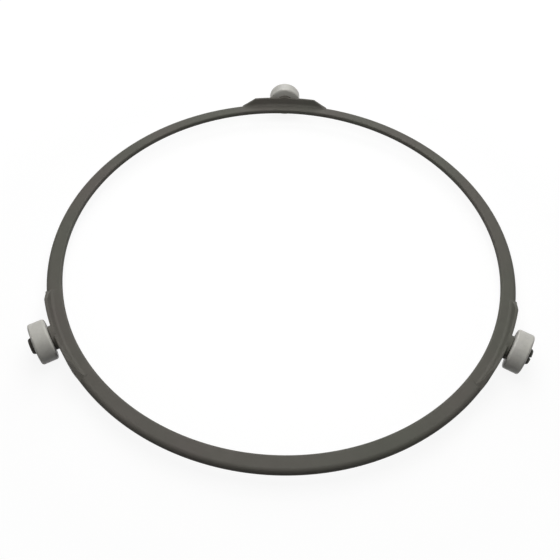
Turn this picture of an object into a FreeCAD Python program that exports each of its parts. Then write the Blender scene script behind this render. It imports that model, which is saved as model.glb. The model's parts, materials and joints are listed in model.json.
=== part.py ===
import FreeCAD, Part
import math
import os

# Roller ring of a microwave oven. A flat moulded hoop lies under the glass tray and carries three
# small rollers outside its rim. At each roller the rim rises into an upright pad with a round boss,
# and a split axle with a barbed head holds the roller on, so that it can be snapped off and cleaned.
#
# Millimetres. +Z is up and +Y points at the rear roller. The origin is on the hoop's axis, on the
# surface that the rollers run on.

# Hoop: a flat band with a broad round shoulder on its outer top edge
hoop_inner_radius = 94.0
hoop_width = 6.25
hoop_thickness = 2.4
hoop_shoulder = 1.9
hoop_edge = 0.4

# Pads: the rim's upright walls, with sloping ends, one at each roller. A wall stands a little proud of
# the rim and thins towards its top, and a fillet joins its foot to the hoop.
pad_proud = 0.1
pad_thickness = 2.0
pad_tip = 1.1
pad_fillet = 1.2
pad_rise = 3.7
pad_length = 43.9
pad_top_length = 31.8
pad_corner = 2.0
pad_edge = 0.3

# Rollers
roller_diameter = 16.3
roller_width = 6.3
roller_edge = 0.9
bore_chamfer = 0.3
axis_drop = 0.55

# Boss that each roller turns against, and the split axle that it turns on
boss_diameter = 9.6
boss_length = 1.1
boss_edge = 0.25
axle_diameter = 4.8
running_clearance = 0.08
end_play = 0.2

# Barbed head of the axle
barb = 0.8
barb_land = 0.35
head_length = 1.4
head_taper = 0.7
slot_width = 0.8
slot_start = 0.5
slot_tilt = -45.0

# Rollers in their order round the hoop, at even distances
roller_names = ["rear", "left", "right"]

# Places that follow from the sizes above
UP = FreeCAD.Vector(0, 0, 1)
OUTWARD = FreeCAD.Vector(0, 1, 0)
CENTRE = FreeCAD.Vector(0, 0, 0)
hoop_outer_radius = hoop_inner_radius + hoop_width
axis_height = roller_diameter / 2
hoop_top = axis_height + axis_drop
hoop_bottom = hoop_top - hoop_thickness
hoop_middle = (hoop_bottom + hoop_top) / 2
pad_top = hoop_top + pad_rise
pad_bottom = 2 * axis_height - pad_top
pad_outer_radius = hoop_outer_radius + pad_proud
pad_tip_radius = pad_outer_radius - pad_tip
pad_foot_radius = pad_outer_radius - pad_thickness
boss_face = pad_outer_radius + boss_length
roller_inner_face = boss_face + end_play
roller_outer_face = roller_inner_face + roller_width
barb_face = roller_outer_face + end_play
axle_end = barb_face + head_length
axle_radius = axle_diameter / 2
bore_radius = axle_radius + running_clearance
head_radius = axle_radius + barb


def section_point(radius, height):
    """A point of a section that is turned about the hoop's axis."""
    return FreeCAD.Vector(radius, 0, height)


def axle_point(reach, radius):
    """A point of a section that is turned about the rear roller's axis."""
    return FreeCAD.Vector(0, reach, axis_height + radius)


def corner_arc(start, corner, end):
    """A quarter circle that rounds a square corner between two points at equal distances from it."""
    middle = corner + (start - corner + end - corner) * (1 - math.sqrt(0.5))
    return Part.Arc(start, middle, end).toShape()


def chain(points):
    """Straight edges from each point to the next."""
    return [Part.makeLine(first, second) for first, second in zip(points, points[1:])]


def turned(edges, axis_place, axis_direction):
    """The solid that a closed section sweeps in one turn."""
    face = Part.Face(Part.Wire(Part.__sortEdges__(edges)))
    return face.revolve(axis_place, axis_direction, 360)


def make_hoop():
    """The flat band, from a section with rounded corners."""
    shoulder = min(hoop_shoulder, hoop_thickness - 1.25 * hoop_edge)
    corners = [
        (hoop_inner_radius, hoop_bottom, hoop_edge),
        (hoop_inner_radius, hoop_top, hoop_edge),
        (hoop_outer_radius, hoop_top, shoulder),
        (hoop_outer_radius, hoop_bottom, hoop_edge),
    ]
    middle_radius = (hoop_inner_radius + hoop_outer_radius) / 2
    edges = []
    ends = []
    for radius, height, rounding in corners:
        inward = math.copysign(rounding, middle_radius - radius)
        across = math.copysign(rounding, hoop_middle - height)
        on_wall = section_point(radius, height + across)
        on_flat = section_point(radius + inward, height)
        edges.append(corner_arc(on_wall, section_point(radius, height), on_flat))
        ends.append((on_wall, on_flat))
    inner_low, inner_high, outer_high, outer_low = ends
    edges.append(Part.makeLine(inner_low[0], inner_high[0]))
    edges.append(Part.makeLine(inner_high[1], outer_high[1]))
    edges.append(Part.makeLine(outer_high[0], outer_low[0]))
    edges.append(Part.makeLine(outer_low[1], inner_low[1]))
    return turned(edges, CENTRE, UP)


def pad_elevation(margin):
    """The space behind the rear pad's outline as seen along the axle, drawn in by a margin at its ends."""
    half_top = pad_top_length / 2 - margin
    slope = (pad_length - pad_top_length) / 2 / pad_rise
    half_waist = half_top + slope * (pad_top - axis_height)
    right_side = [(half_top, pad_bottom), (half_waist, axis_height), (half_top, pad_top)]
    left_side = [(-across, height) for across, height in reversed(right_side)]
    outline = [FreeCAD.Vector(across, 0, height) for across, height in right_side + left_side]
    block = Part.Face(Part.makePolygon(outline + outline[:1])).extrude(OUTWARD * boss_face)
    return block.makeFillet(pad_corner, [edge for edge in block.Edges if is_outline_corner(edge)])


def is_outline_corner(edge):
    """Picks the edges along the axle at the four corners where a level side meets a slope."""
    box = edge.BoundBox
    from_level = min(abs(box.ZMin - pad_top), abs(box.ZMin - pad_bottom))
    return box.YLength > pad_thickness and from_level < pad_edge


def make_pad():
    """The rear pad's wall on the rim's curve, as high above the roller's axis as it is deep below it."""
    lean = (pad_thickness - pad_tip) / pad_rise
    waist = pad_tip_radius - lean * (pad_top - hoop_middle)
    corners = [
        section_point(pad_outer_radius, pad_bottom),
        section_point(pad_outer_radius, pad_top),
        section_point(pad_tip_radius, pad_top),
        section_point(waist, hoop_middle),
        section_point(pad_tip_radius, pad_bottom),
    ]
    wall = turned(chain(corners + corners[:1]), CENTRE, UP)
    pad = wall.common(pad_elevation(0))
    return pad.makeFillet(pad_edge, upper_edges(pad))


def upper_edges(pad):
    """The edges along the pad's top and its two upper slopes, on both faces of the wall."""
    chosen = []
    for edge in pad.Edges:
        low = edge.BoundBox.ZMin
        along = edge.BoundBox.XLength
        if low > axis_height - pad_edge and along > pad_thickness:
            chosen.append(edge)
    return chosen


def make_pad_fillet():
    """The hollow fillet between the hoop's top and the rear pad's inner face, with a core inside both."""
    lean = math.atan2(pad_thickness - pad_tip, pad_rise)
    reach = pad_fillet * math.tan((math.pi / 2 - lean) / 2)
    centre = section_point(pad_foot_radius - reach, hoop_top + pad_fillet)
    on_hoop = section_point(centre.x, hoop_top)
    on_wall = centre + section_point(math.cos(lean), -math.sin(lean)) * pad_fillet
    halfway = (math.pi / 2 + lean) / 2
    lowest = centre + section_point(math.cos(halfway), -math.sin(halfway)) * pad_fillet
    core_radius = pad_outer_radius - pad_tip / 2
    edges = chain([
        on_hoop,
        section_point(on_hoop.x, hoop_middle),
        section_point(core_radius, hoop_middle),
        section_point(core_radius, on_wall.z),
        on_wall,
    ])
    edges.append(Part.Arc(on_wall, lowest, on_hoop).toShape())
    return turned(edges, CENTRE, UP).common(pad_elevation(2 * pad_edge))


def make_boss():
    """The round shoulder on the rear pad's outer face."""
    root = pad_outer_radius - pad_thickness / 2
    radius = boss_diameter / 2
    rounded_start = axle_point(boss_face - boss_edge, radius)
    rounded_end = axle_point(boss_face, radius - boss_edge)
    edges = chain([
        rounded_end,
        axle_point(boss_face, 0),
        axle_point(root, 0),
        axle_point(root, radius),
        rounded_start,
    ])
    edges.append(corner_arc(rounded_start, axle_point(boss_face, radius), rounded_end))
    return turned(edges, FreeCAD.Vector(0, 0, axis_height), OUTWARD)


def make_axle():
    """The rear axle with its barbed head, split so that its two prongs can close."""
    tip_radius = head_radius - head_taper
    land_end = barb_face + barb_land
    bulge = axle_point((land_end + 2 * axle_end) / 3, head_radius - head_taper / 3)
    edges = chain([
        axle_point(axle_end, tip_radius),
        axle_point(axle_end, 0),
        axle_point(pad_outer_radius, 0),
        axle_point(pad_outer_radius, axle_radius),
        axle_point(barb_face, axle_radius),
        axle_point(barb_face, head_radius),
        axle_point(land_end, head_radius),
    ])
    nose = Part.Arc(axle_point(land_end, head_radius), bulge, axle_point(axle_end, tip_radius))
    edges.append(nose.toShape())
    axle = turned(edges, FreeCAD.Vector(0, 0, axis_height), OUTWARD)
    slot_floor = boss_face + slot_start
    corner = FreeCAD.Vector(-2 * head_radius, slot_floor, axis_height - slot_width / 2)
    slot = Part.makeBox(4 * head_radius, axle_end - slot_floor + head_length, slot_width, corner)
    slot.rotate(FreeCAD.Vector(0, 0, axis_height), OUTWARD, slot_tilt)
    return axle.cut(slot)


def make_roller():
    """The rear roller: a plain wheel with rounded tread edges and a chamfered bore."""
    tread = roller_diameter / 2
    inner, outer = roller_inner_face, roller_outer_face
    tread_inner = axle_point(inner + roller_edge, tread)
    tread_outer = axle_point(outer - roller_edge, tread)
    rim_inner = axle_point(inner, tread - roller_edge)
    rim_outer = axle_point(outer, tread - roller_edge)
    edges = chain([
        rim_inner,
        axle_point(inner, bore_radius + bore_chamfer),
        axle_point(inner + bore_chamfer, bore_radius),
        axle_point(outer - bore_chamfer, bore_radius),
        axle_point(outer, bore_radius + bore_chamfer),
        rim_outer,
    ])
    edges.append(corner_arc(rim_outer, axle_point(outer, tread), tread_outer))
    edges.append(Part.makeLine(tread_outer, tread_inner))
    edges.append(corner_arc(tread_inner, axle_point(inner, tread), rim_inner))
    return turned(edges, FreeCAD.Vector(0, 0, axis_height), OUTWARD)


def placed(shape, name):
    """A copy of a rear piece, turned about the hoop's axis to the named roller's place."""
    copy = shape.copy()
    copy.rotate(CENTRE, UP, 360 * roller_names.index(name) / len(roller_names))
    return copy


def make_ring():
    """The one moulding: the hoop with its pads, bosses and axles."""
    station = make_pad().fuse([make_pad_fillet(), make_boss(), make_axle()]).removeSplitter()
    ring = make_hoop()
    for name in roller_names:
        ring = ring.fuse(placed(station, name))
    return ring.removeSplitter()


def main():
    os.makedirs("parts", exist_ok=True)
    nodes = {"ring": make_ring()}
    roller = make_roller()
    for name in roller_names:
        nodes["roller_" + name] = placed(roller, name)
    for name, shape in nodes.items():
        shape.exportStep(os.path.join("parts", name + ".step"))
        box = shape.BoundBox
        print(name, "solids", len(shape.Solids), "valid", shape.isValid(), "volume", round(shape.Volume, 1))
        print("  from", round(box.XMin, 2), round(box.YMin, 2), round(box.ZMin, 2))
        print("  to", round(box.XMax, 2), round(box.YMax, 2), round(box.ZMax, 2))


main()
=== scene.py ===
# %% [markdown]
# # A microwave oven's roller ring
#
# The real object is a thin dark hoop that lies under the glass tray. Three white rollers sit outside
# its rim and carry the tray round. The hoop, its pads and its axles are one moulding, and each roller
# is a second moulding that snaps on. Everything here is modelled as by hand, in metres, around the
# solids that the frame brings in. First the frame is loaded and its box is kept for later.

# %% Load the frame
import json
import math
import bpy
from mathutils import Matrix, Vector

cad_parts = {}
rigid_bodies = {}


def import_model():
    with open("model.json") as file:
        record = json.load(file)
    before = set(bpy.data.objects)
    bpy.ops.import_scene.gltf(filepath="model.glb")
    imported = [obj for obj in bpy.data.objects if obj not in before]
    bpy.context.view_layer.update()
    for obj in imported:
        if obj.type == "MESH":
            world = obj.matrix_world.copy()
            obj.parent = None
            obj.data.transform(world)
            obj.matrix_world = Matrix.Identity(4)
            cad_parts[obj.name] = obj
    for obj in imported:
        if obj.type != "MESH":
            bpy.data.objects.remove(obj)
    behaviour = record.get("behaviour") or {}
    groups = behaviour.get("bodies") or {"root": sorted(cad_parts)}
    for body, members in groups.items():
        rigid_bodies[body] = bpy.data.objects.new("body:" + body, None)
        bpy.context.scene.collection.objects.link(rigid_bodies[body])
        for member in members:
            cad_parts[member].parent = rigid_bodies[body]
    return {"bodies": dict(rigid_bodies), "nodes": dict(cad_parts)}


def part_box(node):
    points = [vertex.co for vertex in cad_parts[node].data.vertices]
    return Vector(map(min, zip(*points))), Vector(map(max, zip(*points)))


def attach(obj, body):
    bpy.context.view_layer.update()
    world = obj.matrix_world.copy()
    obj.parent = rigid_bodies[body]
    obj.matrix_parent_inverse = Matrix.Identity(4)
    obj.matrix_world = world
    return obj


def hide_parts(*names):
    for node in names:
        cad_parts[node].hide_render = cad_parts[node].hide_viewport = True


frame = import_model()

kept = set(frame["bodies"].values()) | set(frame["nodes"].values())
for leftover in set(bpy.data.objects) - kept:
    bpy.data.objects.remove(leftover)
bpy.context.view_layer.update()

# %% [markdown]
# ## Sizes
#
# A size that the solids already hold is read from their boxes, so that a new piece fits without any
# trying. The hoop's outer radius is half the ring's width, and a roller's box gives its diameter and
# its width. What a box can't tell, such as a wall's thickness, is written where it is first needed.

# %% Read the main sizes
MM = 0.001
ROLLER_TURNS = {"rear": 0, "left": 120, "right": 240}
ring_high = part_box("ring")[1]
roller_low, roller_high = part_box("roller_rear")
hoop_outer = ring_high.x
axle_end = ring_high.y
roller_radius = (roller_high.z - roller_low.z) / 2
roller_inner_face = roller_low.y
roller_outer_face = roller_high.y
axis_height = (roller_high.z + roller_low.z) / 2
print("hoop radius", round(hoop_outer / MM, 2), "roller radius", round(roller_radius / MM, 2), "mm")

# %% [markdown]
# ## Helpers that pick
#
# An operator acts on whatever is selected, and the frame's solids arrive selected. So every piece
# starts with an empty selection, and faces, edges or corners are then picked by where they are or
# which way they face. These helpers only pick things. The shaping itself is done by the operators.

# %% Pick corners, edges and faces
CLOSE = 0.001 * MM


def clear_selection():
    if bpy.context.object and bpy.context.object.mode != "OBJECT":
        bpy.ops.object.mode_set(mode="OBJECT")
    bpy.ops.object.select_all(action="DESELECT")


def make_active(piece):
    clear_selection()
    piece.select_set(True)
    bpy.context.view_layer.objects.active = piece


def pick(piece, kind, wanted):
    """Leave edit mode open with only the wanted vertices, edges or faces selected."""
    make_active(piece)
    bpy.ops.object.mode_set(mode="EDIT")
    bpy.ops.mesh.select_mode(type=kind)
    bpy.ops.mesh.select_all(action="DESELECT")
    bpy.ops.object.mode_set(mode="OBJECT")
    mesh = piece.data
    if kind == "VERT":
        for vertex in mesh.vertices:
            vertex.select = wanted(vertex.co)
    elif kind == "EDGE":
        for edge in mesh.edges:
            edge.select = wanted(*[mesh.vertices[i].co for i in edge.vertices])
    else:
        for face in mesh.polygons:
            face.select = wanted(face.center, face.normal)
    bpy.ops.object.mode_set(mode="EDIT")


def pick_all(piece):
    make_active(piece)
    bpy.ops.object.mode_set(mode="EDIT")
    bpy.ops.mesh.select_all(action="SELECT")


def close_mesh():
    """Merge the doubles of the mesh in edit mode, turn its faces outwards and leave edit mode."""
    bpy.ops.mesh.select_all(action="SELECT")
    bpy.ops.mesh.remove_doubles(threshold=CLOSE)
    bpy.ops.mesh.normals_make_consistent(inside=False)
    bpy.ops.object.mode_set(mode="OBJECT")


clear_selection()
print("selected", [thing.name for thing in bpy.data.objects if thing.select_get()])

# %% [markdown]
# ## The hoop's section
#
# The hoop is a flat band, a little over 6 mm wide, with a broad round shoulder on its outer top edge.
# Its inner top edge is soft and its two lower edges are almost sharp. A torus or a curve with a bevel
# could make a hoop, but neither gives corners of different radii. So a plane becomes the section, and
# its corners are bevelled one after another.

# %% Draw the hoop's section
HOOP_WIDTH = 6.25 * MM
HOOP_THICKNESS = 2.4 * MM
TOP_ABOVE_AXIS = 0.55 * MM
HOOP_EDGE = 0.4 * MM
HOOP_EDGE_SEGMENTS = 4
HOOP_INNER_EDGE = 0.7 * MM
HOOP_INNER_SEGMENTS = 6
HOOP_SHOULDER = 1.9 * MM
HOOP_SHOULDER_SEGMENTS = 10
hoop_inner = hoop_outer - HOOP_WIDTH
hoop_top = axis_height + TOP_ABOVE_AXIS
hoop_bottom = hoop_top - HOOP_THICKNESS
hoop_middle = Vector(((hoop_inner + hoop_outer) / 2, 0, (hoop_top + hoop_bottom) / 2))


def named(name):
    """Name the new primitive and put its place, turn and size into its mesh."""
    piece = bpy.context.object
    piece.name = name
    piece.data.name = name
    bpy.ops.object.transform_apply(location=True, rotation=True, scale=True)
    return piece


def section(name, width, height, middle):
    """A plane that stands upright in the XZ plane."""
    clear_selection()
    bpy.ops.mesh.primitive_plane_add(size=1, location=middle, rotation=(math.pi / 2, 0, 0))
    bpy.context.object.scale = (width, height, 1)
    return named(name)


def round_corners(piece, radius, segments, wanted):
    pick(piece, "VERT", wanted)
    bpy.ops.mesh.bevel(offset=radius, segments=segments, affect="VERTICES")
    bpy.ops.object.mode_set(mode="OBJECT")


def is_lower_edge(place):
    return place.z < hoop_middle.z


def is_inner_edge(place):
    return place.x < hoop_inner + CLOSE and place.z > hoop_top - CLOSE


def is_shoulder(place):
    return place.x > hoop_outer - CLOSE and place.z > hoop_top - CLOSE


hoop = section("hoop_with_axles", HOOP_WIDTH, HOOP_THICKNESS, hoop_middle)
round_corners(hoop, HOOP_EDGE, HOOP_EDGE_SEGMENTS, is_lower_edge)
round_corners(hoop, HOOP_INNER_EDGE, HOOP_INNER_SEGMENTS, is_inner_edge)
round_corners(hoop, HOOP_SHOULDER, HOOP_SHOULDER_SEGMENTS, is_shoulder)
print("hoop section", len(hoop.data.vertices), "corners")

# %% [markdown]
# ## The hoop
#
# On the real ring the band has the same section all round. Spin turns the outline about the axis and
# leaves a double line of corners where it closes, which is merged. The face of the section goes first,
# or it would stay inside as a wall. The steps fall on half degrees, which keeps them away from the
# corners of the pads that come later.

# %% Spin the hoop
SPIN_STEPS = 360
SPIN_STEP = math.tau / SPIN_STEPS
CENTRE = (0, 0, 0)
UP = (0, 0, 1)
pick_all(hoop)
bpy.ops.mesh.delete(type="ONLY_FACE")
bpy.ops.mesh.select_all(action="SELECT")
bpy.ops.transform.rotate(value=-SPIN_STEP / 2, orient_axis="Z", center_override=CENTRE)
bpy.ops.mesh.spin(steps=SPIN_STEPS, angle=math.tau, center=CENTRE, axis=UP)
close_mesh()
print("hoop", len(hoop.data.polygons), "faces")

# %% [markdown]
# ## A pad's section
#
# At each roller the rim rises into an upright wall, which stiffens the hoop where the axle pulls on
# it. The wall thins towards its top and bottom, as a moulding must to leave its mould, and a hollow
# fillet joins its foot to the hoop. A box with moved corners would do for the wall, but not for the
# fillet. So a small plane grows by its edges. Its lower edge is the waist, halfway down the hoop, and
# its upper edge is the foot, a hair below the hoop's top so that no two faces share a plane later. It
# is pulled up, down, and inwards by one and a half radii of the fillet.

# %% Draw the pad's section
PAD_PROUD = 0.1 * MM
PAD_THICKNESS = 2.0 * MM
PAD_TIP = 1.1 * MM
PAD_RISE = 3.7 * MM
PAD_FILLET = 1.2 * MM
PAD_FILLET_SEGMENTS = 6
FOOT_SHARE = 1.5
HAIR = 0.02 * MM
pad_half_height = hoop_top + PAD_RISE - axis_height
pad_outer = hoop_outer + PAD_PROUD
pad_foot = pad_outer - PAD_THICKNESS
foot_length = FOOT_SHARE * PAD_FILLET
waist = hoop_middle.z
waist_to_foot = hoop_top - HAIR - waist


def pull_edge(piece, wanted, move):
    """Extrude the edges of a section whose two ends are wanted."""
    pick(piece, "EDGE", lambda a, b: wanted(a) and wanted(b))
    bpy.ops.mesh.extrude_region_move(TRANSFORM_OT_translate={"value": move})
    bpy.ops.object.mode_set(mode="OBJECT")


def shift_corner(piece, wanted, move):
    pick(piece, "VERT", wanted)
    bpy.ops.transform.translate(value=move)
    bpy.ops.object.mode_set(mode="OBJECT")


def above_waist(place):
    return place.z > waist + CLOSE


def below_foot(place):
    return place.x < pad_foot + CLOSE and waist - CLOSE < place.z < hoop_top


def at_inner_tip(place):
    return place.x < pad_foot + CLOSE and abs(place.z - axis_height) > pad_half_height - CLOSE


def in_fillet(place):
    return abs(place.x - pad_foot) < CLOSE and above_waist(place)


station_middle = Vector((pad_outer - PAD_THICKNESS / 2, 0, waist + waist_to_foot / 2))
station = section("station", PAD_THICKNESS, waist_to_foot, station_middle)
pull_edge(station, above_waist, (0, 0, PAD_RISE + HAIR))
pull_edge(station, lambda place: not above_waist(place), (0, 0, axis_height - pad_half_height - waist))
pull_edge(station, below_foot, (-foot_length, 0, 0))
shift_corner(station, at_inner_tip, (PAD_THICKNESS - PAD_TIP, 0, 0))
pick_all(station)
bpy.ops.mesh.dissolve_faces()
bpy.ops.object.mode_set(mode="OBJECT")
round_corners(station, PAD_FILLET, PAD_FILLET_SEGMENTS, in_fillet)
print("pad section", len(station.data.vertices), "corners, faces", len(station.data.polygons))

# %% [markdown]
# ## The rear pad
#
# The wall follows the rim's curve and its ends slope, so that the hoop doesn't stiffen all at once.
# A box could be bent to the curve, but a spun section lies on it exactly. The section is spun a little
# too far, and four cuts with a plane then give the wall its slopes above and below. Bisect fills each
# cut, so the wall stays closed.

# %% Spin and cut the rear pad
PAD_LENGTH = 43.9 * MM
PAD_TOP_LENGTH = 31.8 * MM
PAD_STEPS = 27
REAR = 90
pad_angle = PAD_STEPS * SPIN_STEP
slope_run = (PAD_LENGTH - PAD_TOP_LENGTH) / 2


def turn_about_hoop(piece, degrees):
    """Turn a piece about the hoop's axis and keep the turn in its mesh."""
    piece.rotation_euler.z = math.radians(degrees)
    make_active(piece)
    bpy.ops.object.transform_apply(location=False, rotation=True, scale=False)


def cut_away(place, outward):
    """Cut the mesh in edit mode with a plane, drop what lies outward of it and close the cut."""
    bpy.ops.mesh.select_all(action="SELECT")
    direction = Vector(outward).normalized()
    bpy.ops.mesh.bisect(
        plane_co=place, plane_no=direction, use_fill=True, clear_outer=True, threshold=CLOSE)


pick_all(station)
bpy.ops.mesh.spin(steps=PAD_STEPS, angle=pad_angle, center=CENTRE, axis=UP)
close_mesh()
turn_about_hoop(station, REAR + math.degrees(pad_angle / 2))
pick_all(station)
for side in (-1, 1):
    for half in (-1, 1):
        slope_start = (side * PAD_TOP_LENGTH / 2, 0, axis_height + half * pad_half_height)
        cut_away(slope_start, (side * PAD_RISE, 0, half * slope_run))
close_mesh()
print("pad", [round(size / MM, 2) for size in station.dimensions], "mm")

# %% [markdown]
# ## Soft ridges on the pad
#
# The pad's top and slopes have small rounded edges, which catch a thin line of light. A bevel modifier
# would round every edge by its angle, and it folds over itself where the fillet runs out. So only the
# ridges are picked, by their place, and bevelled.

# %% Round the pad's ridges
PAD_EDGE = 0.3 * MM
PAD_EDGE_SEGMENTS = 3


def on_ridge(place):
    """True on the pad's top and bottom edges and on its slopes."""
    height = abs(place.z - axis_height)
    slope = pad_half_height - PAD_RISE * max(0, abs(place.x) - PAD_TOP_LENGTH / 2) / slope_run
    return abs(height - slope) < HAIR


def is_ridge(a, b):
    """An edge along one face of the wall, clear of the fillet, and not one that runs across the wall."""
    across = abs(a.xy.length - b.xy.length)
    clear = abs((a.z + b.z) / 2 - axis_height) > hoop_top + PAD_FILLET - axis_height
    return clear and on_ridge(a) and on_ridge(b) and across < abs(a.x - b.x) / 2


pick(station, "EDGE", is_ridge)
bpy.ops.mesh.bevel(offset=PAD_EDGE, segments=PAD_EDGE_SEGMENTS, affect="EDGES")
bpy.ops.object.mode_set(mode="OBJECT")
print("pad", len(station.data.polygons), "faces")

# %% [markdown]
# ## The boss
#
# A round boss on each pad keeps the roller off the wall, so that only its hub rubs. It is a plain
# cylinder whose root lies inside the wall. A disc pulled out of the pad's own face would look the same,
# but that face is curved, and a separate cylinder stays truly round. Its outer edge gets a small bevel.

# %% Make the boss
BOSS_RADIUS = 4.8 * MM
BOSS_LENGTH = 1.1 * MM
BOSS_EDGE = 0.25 * MM
BOSS_EDGE_SEGMENTS = 3
AXLE_SIDES = 60
boss_root = pad_outer - PAD_THICKNESS / 2
boss_face = pad_outer + BOSS_LENGTH


def round_the_axle(name, radius, start, end, sides):
    """A cylinder along the rear roller's axis."""
    clear_selection()
    middle = (0, (start + end) / 2, axis_height)
    bpy.ops.mesh.primitive_cylinder_add(
        vertices=sides, radius=radius, depth=end - start, location=middle, rotation=(-math.pi / 2, 0, 0))
    return named(name)


axle = round_the_axle("axle", BOSS_RADIUS, boss_root, boss_face, AXLE_SIDES)
pick(axle, "EDGE", lambda a, b: min(a.y, b.y) > boss_face - BOSS_EDGE)
bpy.ops.mesh.bevel(offset=BOSS_EDGE, segments=BOSS_EDGE_SEGMENTS, affect="EDGES")
bpy.ops.object.mode_set(mode="OBJECT")
print("boss", len(axle.data.polygons), "faces, face at", round(boss_face / MM, 2), "mm")

# %% [markdown]
# ## The axle and its head
#
# The axle stands on the boss and ends in a barbed head that holds the roller on. A turned profile could
# be spun here too, but extruding shows the usual way: inset the boss's face, push it out, widen it for
# the barb, and so on outwards. The head's nose is a few short steps along a quarter of an ellipse.

# %% Extrude the axle from the boss
AXLE_RADIUS = 2.4 * MM
HEAD_LENGTH = 1.4 * MM
BARB = 0.8 * MM
BARB_LAND = 0.35 * MM
HEAD_TAPER = 0.7 * MM
NOSE_STEPS = 5
END_ON = 0.99
barb_face = axle_end - HEAD_LENGTH
nose_start = barb_face + BARB_LAND
nose_length = HEAD_LENGTH - BARB_LAND
head_radius = AXLE_RADIUS + BARB


def push_out(distance):
    """Extrude the selected face outwards along the axle."""
    bpy.ops.mesh.extrude_region_move(TRANSFORM_OT_translate={"value": (0, distance, 0)})


def widen(factor, reach):
    """Scale the selected face about the axle's axis."""
    bpy.ops.transform.resize(value=(factor, 1, factor), center_override=(0, reach, axis_height))


pick(axle, "FACE", lambda place, normal: normal.y > END_ON)
bpy.ops.mesh.inset(thickness=BOSS_RADIUS - BOSS_EDGE - AXLE_RADIUS)
push_out(barb_face - boss_face)
push_out(0)
widen(head_radius / AXLE_RADIUS, barb_face)
push_out(BARB_LAND)
reach = nose_start
radius = head_radius
for step in range(1, NOSE_STEPS + 1):
    angle = math.pi / 2 * step / NOSE_STEPS
    next_reach = nose_start + nose_length * math.sin(angle)
    next_radius = head_radius - HEAD_TAPER * (1 - math.cos(angle))
    push_out(next_reach - reach)
    widen(next_radius / radius, next_reach)
    reach = next_reach
    radius = next_radius
close_mesh()
print("axle", len(axle.data.polygons), "faces, end at", round(reach / MM, 2), "mm")

# %% [markdown]
# ## The slot
#
# A slot splits the head and most of the axle into two prongs. They close as the roller is pushed on,
# and spring open behind it. Two extruded half circles could make the prongs, but a box and a boolean
# cut both at one stroke. The box is wide enough to pass right through the head, and it lies aslant. The
# finished axle is then joined to the pad, which makes one station.

# %% Cut the slot and join the axle to the pad
SLOT_WIDTH = 0.8 * MM
SLOT_START = 0.5 * MM
SLOT_TILT = -45
slot_length = axle_end - boss_face
slot_middle = (0, boss_face + SLOT_START + slot_length / 2, axis_height)
slot_across = 4 * head_radius


def apply_modifier(piece, kind, **settings):
    make_active(piece)
    modifier = piece.modifiers.new(kind.lower(), kind)
    for name, value in settings.items():
        setattr(modifier, name, value)
    bpy.ops.object.modifier_apply(modifier=modifier.name)


def combine(piece, tool, operation):
    """Add a second closed mesh to a piece, or cut it away, and delete it."""
    apply_modifier(piece, "BOOLEAN", object=tool, operation=operation, solver="EXACT")
    bpy.data.objects.remove(tool)


clear_selection()
bpy.ops.mesh.primitive_cube_add(size=1, location=slot_middle, rotation=(0, math.radians(SLOT_TILT), 0))
bpy.context.object.scale = (slot_across, slot_length, SLOT_WIDTH)
combine(axle, named("slot"), "DIFFERENCE")
combine(station, axle, "UNION")
print("station", len(station.data.polygons), "faces, reach", round(station.dimensions.y / MM, 2), "mm")

# %% [markdown]
# ## One moulding
#
# The rear station is copied to the other two places, each copy with a mesh of its own, and all three
# are joined to the hoop. A plain join would leave walls inside the plastic, so a union is used: what
# comes out is one closed skin, as on the real moulding. Round forms are then shaded smoothly, with
# normals weighted by area so that the broad flat faces stay flat.

# %% Join the stations to the hoop
SMOOTH_BELOW = 32
NORMAL_WEIGHT = 100


def turned_copy(piece, name, degrees):
    """A copy with a mesh of its own, turned about the hoop's axis."""
    copy = piece.copy()
    copy.data = piece.data.copy()
    copy.name = name
    copy.data.name = name
    bpy.context.collection.objects.link(copy)
    turn_about_hoop(copy, degrees)
    return copy


def smooth(piece):
    """Shade round forms smoothly and keep broad flat faces flat."""
    make_active(piece)
    bpy.ops.object.shade_smooth_by_angle(angle=math.radians(SMOOTH_BELOW))
    apply_modifier(piece, "WEIGHTED_NORMAL", keep_sharp=True, weight=NORMAL_WEIGHT)


stations = [turned_copy(station, "station_" + name, turn) for name, turn in ROLLER_TURNS.items()]
bpy.data.objects.remove(station)
for placed_station in stations:
    combine(hoop, placed_station, "UNION")
pick_all(hoop)
close_mesh()
smooth(hoop)
print("moulding", len(hoop.data.polygons), "faces")

# %% [markdown]
# ## The rear roller
#
# Each roller is a plain wheel of hard white plastic, with a soft radius on both edges of its tread and
# a bore with a small chamfer. It starts as a cylinder. A boolean could drill the bore, but here both
# ends are inset to the size of the bore and the two rings are bridged, which opens the hole without a
# cut and leaves clean edges to bevel.

# %% Model the rear roller
ROLLER_SIDES = 144
ROLLER_EDGE = 0.9 * MM
ROLLER_EDGE_SEGMENTS = 6
BORE_RADIUS = 2.48 * MM
BORE_CHAMFER = 0.3 * MM
BORE_SEGMENTS = 2
MARGIN = 0.01
bore_limit = BORE_RADIUS * (1 + MARGIN)
tread_limit = roller_radius * (1 - MARGIN)


def from_axle(place):
    return math.hypot(place.x, place.z - axis_height)


def is_bore(a, b):
    return max(from_axle(a), from_axle(b)) < bore_limit


def is_end_of_bore(a, b):
    """The two edges of the bore, but not the lines along it."""
    return abs(a.y - b.y) < BORE_CHAMFER and is_bore(a, b)


def is_end_of_tread(a, b):
    return abs(a.y - b.y) < ROLLER_EDGE and min(from_axle(a), from_axle(b)) > tread_limit


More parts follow.
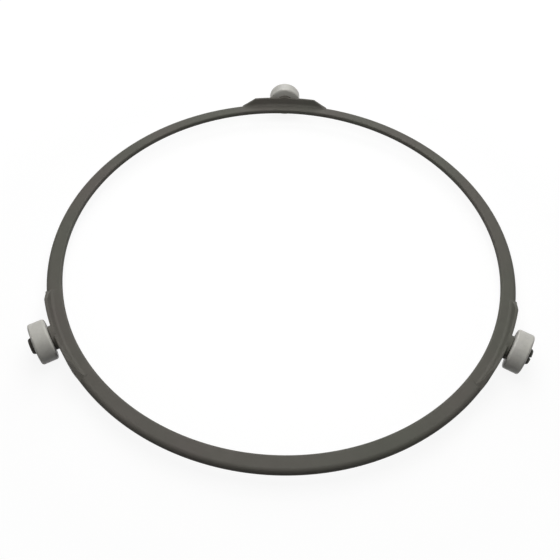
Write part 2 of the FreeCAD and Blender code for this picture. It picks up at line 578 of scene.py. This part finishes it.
rear = round_the_axle(
    "rear_wheel_moulding", roller_radius, roller_inner_face, roller_outer_face, ROLLER_SIDES)
pick(rear, "FACE", lambda place, normal: abs(normal.y) > END_ON)
bpy.ops.mesh.inset(thickness=roller_radius - BORE_RADIUS, use_individual=True)
bpy.ops.mesh.delete(type="ONLY_FACE")
pick(rear, "EDGE", is_bore)
bpy.ops.mesh.bridge_edge_loops()
close_mesh()
pick(rear, "EDGE", is_end_of_bore)
bpy.ops.mesh.bevel(offset=BORE_CHAMFER, segments=BORE_SEGMENTS, affect="EDGES")
pick(rear, "EDGE", is_end_of_tread)
bpy.ops.mesh.bevel(offset=ROLLER_EDGE, segments=ROLLER_EDGE_SEGMENTS, affect="EDGES")
close_mesh()
smooth(rear)
roller_size = [round(size / MM, 2) for size in rear.dimensions]
print("roller", len(rear.data.polygons), "faces", roller_size, "mm")

# %% [markdown]
# ## Three rollers
#
# The three wheels come from one mould, so one is modelled and two are turned copies. Two values are
# first kept with every vertex, the distance from the axle and the place across the tread. The finish
# can then follow the wheel wherever it stands, which plain coordinates wouldn't do on the copies.

# %% Keep two values and copy the roller
tread_middle = (roller_inner_face + roller_outer_face) / 2
half_tread = roller_outer_face - tread_middle
radius_share = rear.data.attributes.new("radius_share", "FLOAT", "POINT")
tread_share = rear.data.attributes.new("tread_share", "FLOAT", "POINT")
for vertex in rear.data.vertices:
    radius_share.data[vertex.index].value = from_axle(vertex.co) / roller_radius
    tread_share.data[vertex.index].value = (vertex.co.y - tread_middle) / half_tread

wheels = {"rear": rear}
for name in ("left", "right"):
    wheels[name] = turned_copy(rear, name + "_wheel_moulding", ROLLER_TURNS[name])
print("rollers", sorted(wheels), "with", len(rear.data.polygons), "faces each")

# %% [markdown]
# ## Nodes for the finishes
#
# Both plastics are dull, but not flat. A single colour would look like paint, so each finish is a small
# graph of noise and ramps. The helpers below add one node each and return its socket, so that a graph
# reads as a list of steps. The noise uses Object coordinates, because the skin has no seams there.

# %% Node helpers
MIX_FIRST = 6
MIX_SECOND = 7
MIX_RESULT = 2


def new_material(name):
    material = bpy.data.materials.new(name)
    material.use_nodes = True
    nodes = material.node_tree.nodes
    return material, nodes, material.node_tree.links, nodes["Principled BSDF"]


def object_place(nodes):
    return nodes.new("ShaderNodeTexCoord").outputs["Object"]


def noise(nodes, links, place, scale, detail):
    """Noise with its scale in features to the metre."""
    node = nodes.new("ShaderNodeTexNoise")
    node.inputs["Scale"].default_value = scale
    node.inputs["Detail"].default_value = detail
    links.new(place, node.inputs["Vector"])
    return node.outputs["Fac"]


def ramp(nodes, links, value, stops):
    """A colour ramp with two (position, grey or colour) stops."""
    node = nodes.new("ShaderNodeValToRGB")
    for stop, (position, colour) in zip(node.color_ramp.elements, stops):
        stop.position = position
        stop.color = (*colour, 1) if isinstance(colour, tuple) else (colour, colour, colour, 1)
    links.new(value, node.inputs["Fac"])
    return node.outputs["Color"]


def mix(nodes, links, share, first, second, blend="MIX"):
    """Mix two colours. Each of the three values may be a socket or a plain value."""
    node = nodes.new("ShaderNodeMix")
    node.data_type = "RGBA"
    node.blend_type = blend
    wanted = {"Factor": share, MIX_FIRST: first, MIX_SECOND: second}
    for socket, value in wanted.items():
        if isinstance(value, bpy.types.NodeSocket):
            links.new(value, node.inputs[socket])
        else:
            node.inputs[socket].default_value = value
    return node.outputs[MIX_RESULT]


def grain(nodes, links, height, strength, depth):
    node = nodes.new("ShaderNodeBump")
    node.inputs["Strength"].default_value = strength
    node.inputs["Distance"].default_value = depth
    links.new(height, node.inputs["Height"])
    return node.outputs["Normal"]


print("node helpers ready, materials so far", len(bpy.data.materials))

# %% [markdown]
# ## Dark grey plastic
#
# The ring is a warm dark grey with a fine moulded grain. Slow noise lets the grey drift between a
# warmer and a greener tone, as it does round the real hoop, and faster noise clouds it a little. Edges
# that hands and cloths have polished are found by the Pointiness of the mesh. The shine is kept low,
# because the grain of the mould scatters it. A noise is given by its features to the metre and its
# detail, and a ramp by its two stops.

# %% Dark grey moulded plastic
WARM_GREY = (0.1275, 0.1175, 0.1045)
GREEN_GREY = (0.117, 0.1175, 0.0985)
POLISHED_GREY = (0.148, 0.142, 0.125)
RING_DRIFT = (28, 2)
RING_CLOUDS = (160, 4)
RING_SHEEN = (420, 3)
RING_GRAIN = (3200, 2)
RING_GRAIN_STRENGTH = 0.25
RING_GRAIN_DEPTH = 0.04 * MM
RING_SHINE = 0.12
DRIFT_STOPS = [(0.35, WARM_GREY), (0.65, GREEN_GREY)]
CLOUD_STOPS = [(0.3, 0.96), (0.7, 1.03)]
POLISH_STOPS = [(0.52, 0.0), (0.62, 0.2)]
RING_ROUGHNESS_STOPS = [(0.3, 0.5), (0.7, 0.62)]


def ring_plastic():
    material, nodes, links, shader = new_material("ring_plastic")
    place = object_place(nodes)
    colour = ramp(nodes, links, noise(nodes, links, place, *RING_DRIFT), DRIFT_STOPS)
    clouds = ramp(nodes, links, noise(nodes, links, place, *RING_CLOUDS), CLOUD_STOPS)
    colour = mix(nodes, links, 1.0, colour, clouds, "MULTIPLY")
    edges = nodes.new("ShaderNodeNewGeometry").outputs["Pointiness"]
    polish = ramp(nodes, links, edges, POLISH_STOPS)
    colour = mix(nodes, links, polish, colour, (*POLISHED_GREY, 1))
    links.new(colour, shader.inputs["Base Color"])
    shader.inputs["Specular IOR Level"].default_value = RING_SHINE
    dull = ramp(nodes, links, noise(nodes, links, place, *RING_SHEEN), RING_ROUGHNESS_STOPS)
    links.new(dull, shader.inputs["Roughness"])
    fine = noise(nodes, links, place, *RING_GRAIN)
    bumps = grain(nodes, links, fine, RING_GRAIN_STRENGTH, RING_GRAIN_DEPTH)
    links.new(bumps, shader.inputs["Normal"])
    return material


dark_plastic = ring_plastic()
print(dark_plastic.name, len(dark_plastic.node_tree.nodes), "nodes")

# %% [markdown]
# ## Off-white plastic
#
# The rollers are a smoother, slippery plastic that has yellowed very slightly. Where the tread runs it
# takes on a faint grey track. A painted mask could show the track, but the two values that every vertex
# holds do it without an image: one ramp finds the middle of the tread, the other finds the rim, and
# noise breaks the track into scuffs.

# %% Off-white roller plastic
CLEAN_WHITE = (0.595, 0.585, 0.542)
WARM_WHITE = (0.56, 0.548, 0.498)
TRACK_GREY = (0.465, 0.458, 0.425)
ROLLER_DRIFT = (190, 3)
ROLLER_SCUFFS = (900, 5)
ROLLER_SHEEN = (600, 3)
ROLLER_GRAIN = (2400, 2)
ROLLER_GRAIN_STRENGTH = 0.12
ROLLER_GRAIN_DEPTH = 0.03 * MM
WHITE_STOPS = [(0.35, CLEAN_WHITE), (0.68, WARM_WHITE)]
TRACK_STOPS = [(0.25, 1.0), (0.6, 0.0)]
RIM_STOPS = [(0.97, 0.0), (0.995, 1.0)]
SCUFF_STOPS = [(0.4, 0.0), (0.75, 0.5)]
ROLLER_ROUGHNESS_STOPS = [(0.3, 0.38), (0.7, 0.5)]


def vertex_value(nodes, name):
    node = nodes.new("ShaderNodeAttribute")
    node.attribute_name = name
    return node.outputs["Fac"]


def roller_plastic():
    material, nodes, links, shader = new_material("roller_plastic")
    place = object_place(nodes)
    colour = ramp(nodes, links, noise(nodes, links, place, *ROLLER_DRIFT), WHITE_STOPS)
    from_middle = nodes.new("ShaderNodeMath")
    from_middle.operation = "ABSOLUTE"
    links.new(vertex_value(nodes, "tread_share"), from_middle.inputs[0])
    track = ramp(nodes, links, from_middle.outputs[0], TRACK_STOPS)
    rim = ramp(nodes, links, vertex_value(nodes, "radius_share"), RIM_STOPS)
    scuffs = ramp(nodes, links, noise(nodes, links, place, *ROLLER_SCUFFS), SCUFF_STOPS)
    track = mix(nodes, links, 1.0, track, rim, "MULTIPLY")
    track = mix(nodes, links, 1.0, track, scuffs, "MULTIPLY")
    colour = mix(nodes, links, track, colour, (*TRACK_GREY, 1))
    links.new(colour, shader.inputs["Base Color"])
    dull = ramp(nodes, links, noise(nodes, links, place, *ROLLER_SHEEN), ROLLER_ROUGHNESS_STOPS)
    links.new(dull, shader.inputs["Roughness"])
    fine = noise(nodes, links, place, *ROLLER_GRAIN)
    bumps = grain(nodes, links, fine, ROLLER_GRAIN_STRENGTH, ROLLER_GRAIN_DEPTH)
    links.new(bumps, shader.inputs["Normal"])
    return material


white_plastic = roller_plastic()
print(white_plastic.name, len(white_plastic.node_tree.nodes), "nodes")

# %% [markdown]
# ## Pieces on their bodies
#
# Each modelled piece now takes the place of its solid, which is hidden. It rides on the body that moves
# it, so a roller turns with its own joint and the moulding stays with the hoop. Each piece is parented
# straight to its body, and its mesh is given its one material.

# %% Dress the pieces
def dress(piece, material, body, node):
    piece.data.materials.clear()
    piece.data.materials.append(material)
    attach(piece, body)
    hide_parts(node)


dress(hoop, dark_plastic, "hoop", "ring")
for name, wheel in wheels.items():
    dress(wheel, white_plastic, name + "_wheel", "roller_" + name)

# %% [markdown]
# ## The floor
#
# The ring lies on plain white paper. Paper lit to pure white would need so much light that the ring
# washed out. So the floor has a glow of its own for the camera and for mirror images, and a little
# shade on top of it that keeps the shadow. To all other rays it is grey and gives back little light.
# The glow rises to full white away from the ring, so that no horizon shows in low views.

# %% White floor
FLOOR_SIDE = 6.0
FLOOR_GLOW = 0.9
GLOW_START = 0.13
GLOW_END = 0.35
FLOOR_SHADE = (0.14, 0.14, 0.139)
FLOOR_BOUNCE = (0.1, 0.1, 0.098)


def seen_directly(nodes, links):
    """1 where the camera or a mirror image looks at it, 0 for light that bounces."""
    path = nodes.new("ShaderNodeLightPath")
    total = path.outputs["Is Camera Ray"]
    for name in ("Is Glossy Ray", "Is Transmission Ray"):
        either = nodes.new("ShaderNodeMath")
        either.operation = "MAXIMUM"
        links.new(total, either.inputs[0])
        links.new(path.outputs[name], either.inputs[1])
        total = either.outputs[0]
    return total


def choose(nodes, links, bounced, seen):
    """One look for bounced light and another for the camera and mirror images."""
    choice = nodes.new("ShaderNodeMixShader")
    links.new(seen_directly(nodes, links), choice.inputs["Fac"])
    links.new(bounced.outputs[0], choice.inputs[1])
    links.new(seen.outputs[0], choice.inputs[2])
    return choice.outputs[0]


def matt(nodes, colour):
    node = nodes.new("ShaderNodeBsdfDiffuse")
    node.inputs["Color"].default_value = (*colour, 1)
    return node


def rising_glow(nodes, links):
    """Light that grows with the distance from the middle of the floor."""
    distance = nodes.new("ShaderNodeVectorMath")
    distance.operation = "LENGTH"
    links.new(object_place(nodes), distance.inputs[0])
    rise = nodes.new("ShaderNodeMapRange")
    rise.inputs["From Min"].default_value = GLOW_START
    rise.inputs["From Max"].default_value = GLOW_END
    rise.inputs["To Min"].default_value = FLOOR_GLOW
    links.new(distance.outputs["Value"], rise.inputs["Value"])
    glow = nodes.new("ShaderNodeEmission")
    links.new(rise.outputs["Result"], glow.inputs["Strength"])
    return glow


clear_selection()
bpy.ops.mesh.primitive_plane_add(size=FLOOR_SIDE, location=CENTRE)
floor = named("floor")
paper, nodes, links, shader = new_material("white_floor")
nodes.remove(shader)
lit = nodes.new("ShaderNodeAddShader")
links.new(rising_glow(nodes, links).outputs[0], lit.inputs[0])
links.new(matt(nodes, FLOOR_SHADE).outputs[0], lit.inputs[1])
surface = choose(nodes, links, matt(nodes, FLOOR_BOUNCE), lit)
links.new(surface, nodes["Material Output"].inputs["Surface"])
floor.data.materials.append(paper)
print("floor", FLOOR_SIDE, "m wide, glow from", FLOOR_GLOW, "to 1")

# %% [markdown]
# ## The sky
#
# The room behind is white in the same way: full white to the camera and to mirror images, and only a
# faint even light on the ring. A picture of a studio could light it too, but it would need a file.

# %% White room
SKY_LIGHT = 0.05
SKY_WHITE = 1.0


def even_sky(nodes, strength):
    node = nodes.new("ShaderNodeBackground")
    node.inputs["Color"].default_value = (1, 1, 1, 1)
    node.inputs["Strength"].default_value = strength
    return node


world = bpy.data.worlds.new("white_room")
bpy.context.scene.world = world
world.use_nodes = True
nodes = world.node_tree.nodes
links = world.node_tree.links
nodes.clear()
surface = choose(nodes, links, even_sky(nodes, SKY_LIGHT), even_sky(nodes, SKY_WHITE))
links.new(surface, nodes.new("ShaderNodeOutputWorld").inputs["Surface"])
print("sky light", SKY_LIGHT)

# %% [markdown]
# ## Lamps
#
# The light is soft, so the lamps are squares with a real size. A sun would give hard shadows. The broad
# lamp stands behind the ring and above it, so that the tops are light and whatever faces the viewer
# falls off to dark. A small one hangs over the middle for the walls that face inwards, and a weak pair
# at the sides keeps the rollers' outer faces from going black in other views.

# %% Lamps
BACK_LAMP = Vector((0.03, 0.56, 0.5))
BACK_LAMP_POWER = 2.3
TOP_LAMP = Vector((0.0, 0.0, 0.21))
TOP_LAMP_POWER = 0.3
RIGHT_LAMP = Vector((0.62, -0.1, 0.32))
SIDE_LAMP_POWER = 0.25
BROAD = 0.5
SMALL = 0.18
ring_middle = Vector((0, 0, hoop_top))
left_lamp = Vector((-RIGHT_LAMP.x, RIGHT_LAMP.y, RIGHT_LAMP.z))


def add_lamp(name, place, side, power):
    """A square lamp that looks at the middle of the ring."""
    clear_selection()
    bpy.ops.object.light_add(type="AREA", location=ring_middle + place)
    lamp = bpy.context.object
    lamp.name = name
    lamp.data.shape = "SQUARE"
    lamp.data.size = side
    lamp.data.energy = power
    lamp.rotation_euler = place.to_track_quat("Z", "Y").to_euler()
    print(name, [round(x, 3) for x in lamp.location], "power", power, "W")


add_lamp("lamp_behind", BACK_LAMP, BROAD, BACK_LAMP_POWER)
add_lamp("lamp_above", TOP_LAMP, SMALL, TOP_LAMP_POWER)
add_lamp("lamp_left", left_lamp, BROAD, SIDE_LAMP_POWER)
add_lamp("lamp_right", RIGHT_LAMP, BROAD, SIDE_LAMP_POWER)

# %% [markdown]
# ## Camera
#
# The picture is square, and its lens is a normal one held quite near, so the front of the ring looks
# larger than the back. The camera's place is given as a distance, a height angle and a small turn
# from the centre of the hoop's top face. The picture's middle lies a little off the lens axis, which
# the shift takes up, and the camera leans over by two and a half degrees.

# %% Camera
PICTURE_SIDE = 560
FOCAL_PIXELS = 589.57
LENS_AXIS_X = 283.29
LENS_AXIS_Y = 241.70
CAMERA_DISTANCE = 258.89 * MM
CAMERA_ELEVATION = math.radians(49.407)
CAMERA_TURN = math.radians(-1.442)
CAMERA_LEAN = math.radians(2.46)
SENSOR_WIDTH = 36.0
NEAREST_SEEN = 0.01
FARTHEST_SEEN = 20
back = Vector((
    math.sin(CAMERA_TURN) * math.cos(CAMERA_ELEVATION),
    -math.cos(CAMERA_TURN) * math.cos(CAMERA_ELEVATION),
    math.sin(CAMERA_ELEVATION)))
level = Vector((math.cos(CAMERA_TURN), math.sin(CAMERA_TURN), 0))
upright = back.cross(level)
right = math.cos(CAMERA_LEAN) * level + math.sin(CAMERA_LEAN) * upright
up = back.cross(right)
clear_selection()
bpy.ops.object.camera_add()
camera = bpy.context.object
camera.name = "camera"
turn = Matrix((right, up, back)).transposed()
camera.matrix_world = Matrix.Translation(ring_middle + CAMERA_DISTANCE * back) @ turn.to_4x4()
camera.data.sensor_width = SENSOR_WIDTH
camera.data.lens = FOCAL_PIXELS / PICTURE_SIDE * SENSOR_WIDTH
camera.data.shift_x = (PICTURE_SIDE / 2 - LENS_AXIS_X) / PICTURE_SIDE
camera.data.shift_y = (LENS_AXIS_Y - PICTURE_SIDE / 2) / PICTURE_SIDE
camera.data.clip_start = NEAREST_SEEN
camera.data.clip_end = FARTHEST_SEEN
bpy.context.scene.camera = camera
bpy.context.scene.view_settings.view_transform = "Standard"
print("camera", [round(x, 4) for x in camera.location], "lens", round(camera.data.lens, 2), "mm")
